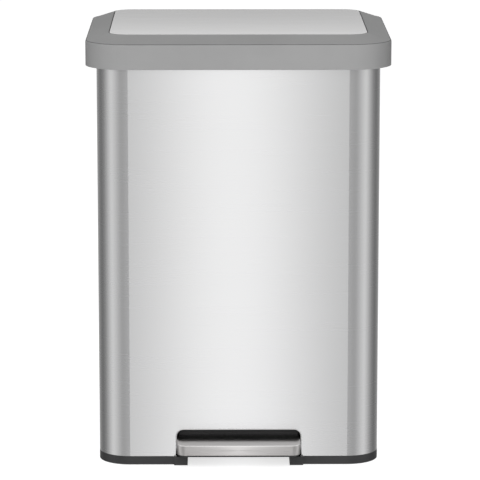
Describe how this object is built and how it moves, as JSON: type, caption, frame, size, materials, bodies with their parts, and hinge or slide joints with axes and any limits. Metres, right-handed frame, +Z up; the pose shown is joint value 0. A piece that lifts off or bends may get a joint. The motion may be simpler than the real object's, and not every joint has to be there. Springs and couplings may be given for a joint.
{
  "type": "pedal trash can",
  "caption": "Rectangular steel step-on waste bin: a front pedal lifts a rear rod that opens a hinged lid with a steel inlay over a lift-out bucket.",
  "frame": {"origin": "on the floor under the centre of the closed bin's bounding box, pedal included", "axes": "+Z up, -Y towards the pedal, +X to the right of a person facing the pedal"},
  "size_m": [0.42, 0.382, 0.6018],
  "materials": {
    "brushed_stainless": "horizontal brushed grain",
    "pressed_stainless": "fine satin",
    "grey_abs": "fine matte texture",
    "black_pp": "matte",
    "dark_grey_pp": "satin",
    "zinc_steel": "zinc plated",
    "black_rubber": "matte",
    "white_nylon": "satin"
  },
  "bodies": {
    "bin": {"body_shell": "brushed_stainless", "base_tray": "black_pp", "base_feet": "black_rubber", "top_frame": "black_pp", "hinge_bushes": "white_nylon", "rod_guides": "black_pp", "guide_screws": "zinc_steel", "damper_cylinder": "dark_grey_pp", "damper_bracket": "black_pp", "axle_bushes": "white_nylon", "bucket": "dark_grey_pp", "bag_ring": "dark_grey_pp"},
    "lid": {"lid_frame": "grey_abs", "lid_panel": "brushed_stainless", "lid_lining": "dark_grey_pp", "lid_screws": "zinc_steel", "lid_bumpers": "black_rubber", "hinge_pin": "zinc_steel", "lid_crank": "zinc_steel", "crank_pin": "zinc_steel", "crank_screws": "zinc_steel"},
    "rod": {"lift_rod": "zinc_steel", "rod_head": "black_pp", "rod_foot": "black_pp", "damper_rod": "zinc_steel", "damper_clamp": "black_pp"},
    "pedal": {"pedal_lever": "zinc_steel", "lever_pin": "zinc_steel", "pedal_plate": "pressed_stainless", "pedal_core": "black_pp", "pedal_rivets": "zinc_steel", "pedal_axle": "zinc_steel", "axle_clips": "zinc_steel"}
  },
  "joints": [
    {"name": "lid_hinge", "type": "hinge", "parent": "bin", "child": "lid", "pos_m": [0, 0.1825, 0.562], "axis": [-1, 0, 0], "range_deg": [0, 80]},
    {"name": "rod_lift", "type": "slide", "parent": "bin", "child": "rod", "axis": [0, 0, 1], "range_m": [0, 0.02777]},
    {"name": "pedal_pivot", "type": "hinge", "parent": "bin", "child": "pedal", "pos_m": [0, -0.079, 0.028], "axis": [1, 0, 0], "range_deg": [0, 6.95]}
  ],
  "couplings": [
    {"joint": "rod_lift", "follows": "lid_hinge", "m_per_rad": 0.019742},
    {"joint": "pedal_pivot", "follows": "lid_hinge", "ratio": 0.086232}
  ]
}
